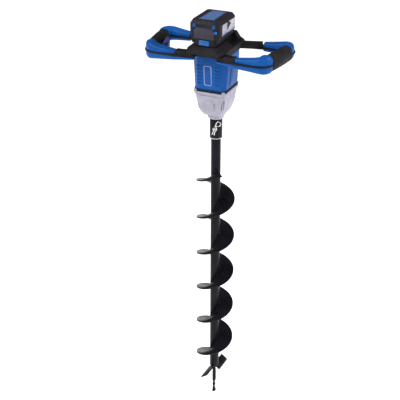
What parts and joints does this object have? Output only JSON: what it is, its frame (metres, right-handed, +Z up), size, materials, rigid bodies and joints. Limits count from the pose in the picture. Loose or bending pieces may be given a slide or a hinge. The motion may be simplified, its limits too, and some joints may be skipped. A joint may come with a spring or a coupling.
{
  "type": "cordless earth auger",
  "caption": "Two-handled cordless earth auger: battery on top, motor and gearbox in line, and a screw drill with cutter blades pinned in the drive socket.",
  "frame": {"origin": "on the spindle's axis, midway between the two grips, at the seam of the handle shells, where two hands hold the tool up", "axes": "+X to the user's right along the handles, +Y from the battery release (front) to the back of the tool, +Z up along the spindle"},
  "size_m": [0.3598, 0.1738, 1.1144],
  "materials": {
    "blue_shell": "fine-grained moulded plastic, satin",
    "black_shell": "black glass-filled plastic, fine grain",
    "grip_rubber": "soft overmoulded grip rubber",
    "lever_plastic": "smooth violet-blue plastic",
    "battery_shell": "charcoal plastic, fine grain",
    "battery_panel": "steel-blue printed panel",
    "label_film": "blank silver label film",
    "button_blue": "bright blue plastic",
    "cell_sleeve": "cell wrap",
    "gearbox_grey": "cast alloy, pale grey bead-blasted coat",
    "gasket_black": "black joint strip",
    "steel": "machined steel",
    "zinc_wire": "bright zinc-plated",
    "brass": "sintered gear metal",
    "winding": "lacquered copper winding",
    "board": "circuit board",
    "drill_black": "gloss black paint on steel",
    "blade_steel": "black-coated steel blade, edges worn by grinding"
  },
  "bodies": {
    "power_head": {"handle_frame": "black_shell", "battery_dock": "black_shell", "terminal_block": "black_shell", "motor_housing": "blue_shell", "housing_gasket": "gasket_black", "gearbox_housing": "gearbox_grey", "gearbox_plate": "steel", "ring_gear": "steel", "stator": "winding", "control_board": "board", "upper_motor_bearing": "steel", "lower_motor_bearing": "steel", "output_bearing_upper": "steel", "output_bearing_lower": "steel", "shaft_seal": "grip_rubber", "gearbox_screw_1": "steel", "gearbox_screw_2": "steel", "gearbox_screw_3": "steel", "gearbox_screw_4": "steel", "left_grip": "grip_rubber", "right_grip": "grip_rubber", "left_front_upper_shell": "blue_shell", "left_front_lower_shell": "blue_shell", "left_rear_upper_shell": "blue_shell", "left_rear_lower_shell": "blue_shell", "right_front_upper_shell": "blue_shell", "right_front_lower_shell": "blue_shell", "right_rear_upper_shell": "blue_shell", "right_rear_lower_shell": "blue_shell"},
    "trigger_lever": {"trigger": "lever_plastic"},
    "safety_lever_body": {"safety_lever": "lever_plastic"},
    "battery": {"battery_lower_case": "battery_shell", "battery_upper_case": "battery_shell", "battery_top_panel": "battery_panel", "battery_label_left": "label_film", "battery_label_right": "label_film", "battery_cell_pack": "cell_sleeve"},
    "battery_release": {"battery_release_button": "button_blue"},
    "battery_gauge": {"battery_gauge_button": "button_blue"},
    "rotor": {"rotor_core": "steel", "rotor_shaft": "steel", "cooling_fan": "black_shell"},
    "first_carrier": {"stage1_carrier": "steel"},
    "drill": {"output_spindle": "steel", "drive_socket": "drill_black", "clevis_pin": "steel", "r_clip": "zinc_wire", "auger_shaft": "drill_black", "auger_flight": "drill_black", "cutter_blade_1": "blade_steel", "cutter_blade_2": "blade_steel", "pilot_point": "drill_black"},
    "stage1_planet_1_gear": {"stage1_planet_1": "brass"},
    "stage1_planet_2_gear": {"stage1_planet_2": "brass"},
    "stage1_planet_3_gear": {"stage1_planet_3": "brass"},
    "stage2_planet_1_gear": {"stage2_planet_1": "brass"},
    "stage2_planet_2_gear": {"stage2_planet_2": "brass"},
    "stage2_planet_3_gear": {"stage2_planet_3": "brass"}
  },
  "joints": [
    {"name": "drill_spin", "type": "hinge", "parent": "power_head", "child": "drill", "pos_m": [0, 0, -0.2], "axis": [0, 0, 1], "continuous": true},
    {"name": "first_carrier_spin", "type": "hinge", "parent": "power_head", "child": "first_carrier", "pos_m": [0, 0, -0.112], "axis": [0, 0, 1], "continuous": true},
    {"name": "rotor_spin", "type": "hinge", "parent": "power_head", "child": "rotor", "pos_m": [0, 0, -0.05], "axis": [0, 0, 1], "continuous": true},
    {"name": "stage1_planet_1_spin", "type": "hinge", "parent": "first_carrier", "child": "stage1_planet_1_gear", "pos_m": [0.0135, 0, -0.105], "axis": [0, 0, 1], "continuous": true},
    {"name": "stage1_planet_2_spin", "type": "hinge", "parent": "first_carrier", "child": "stage1_planet_2_gear", "pos_m": [-0.00675, 0.01169, -0.105], "axis": [0, 0, 1], "continuous": true},
    {"name": "stage1_planet_3_spin", "type": "hinge", "parent": "first_carrier", "child": "stage1_planet_3_gear", "pos_m": [-0.00675, -0.01169, -0.105], "axis": [0, 0, 1], "continuous": true},
    {"name": "stage2_planet_1_spin", "type": "hinge", "parent": "drill", "child": "stage2_planet_1_gear", "pos_m": [0.0135, 0, -0.1215], "axis": [0, 0, 1], "continuous": true},
    {"name": "stage2_planet_2_spin", "type": "hinge", "parent": "drill", "child": "stage2_planet_2_gear", "pos_m": [-0.00675, 0.01169, -0.1215], "axis": [0, 0, 1], "continuous": true},
    {"name": "stage2_planet_3_spin", "type": "hinge", "parent": "drill", "child": "stage2_planet_3_gear", "pos_m": [-0.00675, -0.01169, -0.1215], "axis": [0, 0, 1], "continuous": true},
    {"name": "trigger_pull", "type": "hinge", "parent": "power_head", "child": "trigger_lever", "pos_m": [-0.13533, 0.00131, 0.004], "axis": [0, 0, 1], "range_deg": [-8, 0], "stiffness_Nm_per_rad": 0.12, "springref_deg": 5.73},
    {"name": "safety_squeeze", "type": "hinge", "parent": "power_head", "child": "safety_lever_body", "pos_m": [0.13268, -0.0175, -0.005], "axis": [0, 0, 1], "range_deg": [0, 8], "stiffness_Nm_per_rad": 0.12, "springref_deg": -5.73},
    {"name": "battery_slide_off", "type": "slide", "parent": "power_head", "child": "battery", "axis": [0, -1, 0], "range_m": [0, 0.085]},
    {"name": "battery_release_press", "type": "slide", "parent": "battery", "child": "battery_release", "axis": [0, 1, 0], "range_m": [0, 0.003], "stiffness_N_per_m": 800, "springref_m": -0.002},
    {"name": "battery_gauge_press", "type": "slide", "parent": "battery", "child": "battery_gauge", "axis": [0, 1, 0], "range_m": [0, 0.001], "stiffness_N_per_m": 1200, "springref_m": -0.001}
  ],
  "couplings": [
    {"joint": "first_carrier_spin", "follows": "drill_spin", "ratio": 5},
    {"joint": "rotor_spin", "follows": "drill_spin", "ratio": 25},
    {"joint": "stage1_planet_1_spin", "follows": "drill_spin", "ratio": -13.333},
    {"joint": "stage1_planet_2_spin", "follows": "drill_spin", "ratio": -13.333},
    {"joint": "stage1_planet_3_spin", "follows": "drill_spin", "ratio": -13.333},
    {"joint": "stage2_planet_1_spin", "follows": "drill_spin", "ratio": -2.6667},
    {"joint": "stage2_planet_2_spin", "follows": "drill_spin", "ratio": -2.6667},
    {"joint": "stage2_planet_3_spin", "follows": "drill_spin", "ratio": -2.6667}
  ]
}
